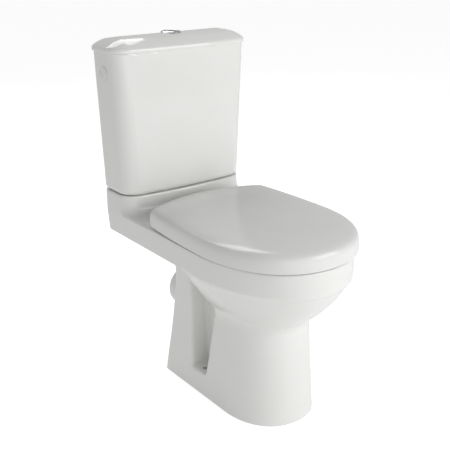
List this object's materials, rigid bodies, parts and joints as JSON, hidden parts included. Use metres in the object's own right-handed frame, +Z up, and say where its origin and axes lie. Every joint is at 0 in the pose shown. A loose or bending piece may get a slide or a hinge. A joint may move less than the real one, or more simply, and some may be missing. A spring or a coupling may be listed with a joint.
{
  "type": "close coupled toilet",
  "caption": "Floor standing close coupled toilet with a boxed rim pan, a bolted-on cistern with dual flush push button, and a wrap over seat lid.",
  "frame": {"origin": "on the floor, midway between the two floor fixing holes of the pan", "axes": "+Z up, front of the toilet towards -Y, +X to the right of someone facing the front"},
  "size_m": [0.3841, 0.6245, 0.8016],
  "materials": {
    "pan_china": "clear gloss glaze",
    "cistern_china": "clear gloss glaze",
    "lid_china": "clear gloss glaze",
    "bezel_chrome": "bright plated",
    "button_chrome": "satin plated",
    "fitting_plastic": "moulded",
    "valve_plastic": "moulded",
    "valve_blue": "moulded",
    "float_plastic": "moulded",
    "plug_plastic": "moulded",
    "seat_plastic": "polished thermoset",
    "rubber": "moulded",
    "buffer_rubber": "moulded",
    "brass": "machined",
    "steel": "stainless"
  },
  "bodies": {
    "root": {"pan": "pan_china", "cistern_tank": "cistern_china", "cistern_lid": "lid_china", "button_bezel": "bezel_chrome", "button_nut": "fitting_plastic", "valve_base": "valve_plastic", "valve_base_gasket": "rubber", "valve_back_nut": "valve_plastic", "valve_cage": "valve_blue", "valve_head": "valve_plastic", "coupling_washer": "rubber", "cistern_bolts": "brass", "bolt_cone_washers": "rubber", "bolt_head_washers": "brass", "bolt_plate_washers": "steel", "wing_nuts": "brass", "fill_valve_body": "valve_plastic", "inlet_washer": "rubber", "inlet_back_nut": "fitting_plastic", "float_arm_pin": "steel", "silencer_tube": "valve_plastic", "blanking_plug": "plug_plastic", "plug_washer": "rubber", "plug_nut": "fitting_plastic", "hinge_posts": "steel", "hinge_pins": "steel", "seat_bolts": "steel", "seat_bolt_bushes": "rubber", "seat_bolt_nuts": "fitting_plastic"},
    "seat_ring_body": {"seat_ring": "seat_plastic", "ring_buffers": "buffer_rubber"},
    "seat_lid_body": {"seat_lid": "seat_plastic", "lid_buffers": "buffer_rubber"},
    "full_flush": {"full_flush_button": "button_chrome", "full_flush_rod": "fitting_plastic"},
    "half_flush": {"half_flush_button": "button_chrome", "half_flush_rod": "fitting_plastic"},
    "flush_plunger": {"overflow_plunger": "valve_blue", "valve_seal": "rubber"},
    "float_lever": {"float_arm": "valve_plastic", "float": "float_plastic", "float_screw": "valve_blue"},
    "inlet_piston": {"valve_piston": "valve_blue"}
  },
  "joints": [
    {"name": "ring_hinge", "type": "hinge", "parent": "root", "child": "seat_ring_body", "pos_m": [0, 0.131, 0.419], "axis": [-1, 0, 0], "range_deg": [0, 92]},
    {"name": "lid_hinge", "type": "hinge", "parent": "seat_ring_body", "child": "seat_lid_body", "pos_m": [0, 0.131, 0.419], "axis": [1, 0, 0], "range_deg": [-92, 0]},
    {"name": "full_flush_press", "type": "slide", "parent": "root", "child": "full_flush", "axis": [0, 0, -1], "range_m": [0, 0.005], "stiffness_N_per_m": 400, "springref_m": -0.003},
    {"name": "half_flush_press", "type": "slide", "parent": "root", "child": "half_flush", "axis": [0, 0, -1], "range_m": [0, 0.005], "stiffness_N_per_m": 400, "springref_m": -0.003},
    {"name": "plunger_lift", "type": "slide", "parent": "root", "child": "flush_plunger", "axis": [0, 0, 1], "range_m": [0, 0.012]},
    {"name": "float_swing", "type": "hinge", "parent": "root", "child": "float_lever", "pos_m": [0.12407, 0.244, 0.733], "axis": [0, 1, 0], "range_deg": [0, 26]},
    {"name": "piston_slide", "type": "slide", "parent": "root", "child": "inlet_piston", "axis": [1, 0, 0], "range_m": [0, 0.002]}
  ],
  "couplings": [
    {"joint": "plunger_lift", "follows": "full_flush_press", "ratio": 2.4},
    {"joint": "piston_slide", "follows": "float_swing", "m_per_rad": 0.0044}
  ]
}
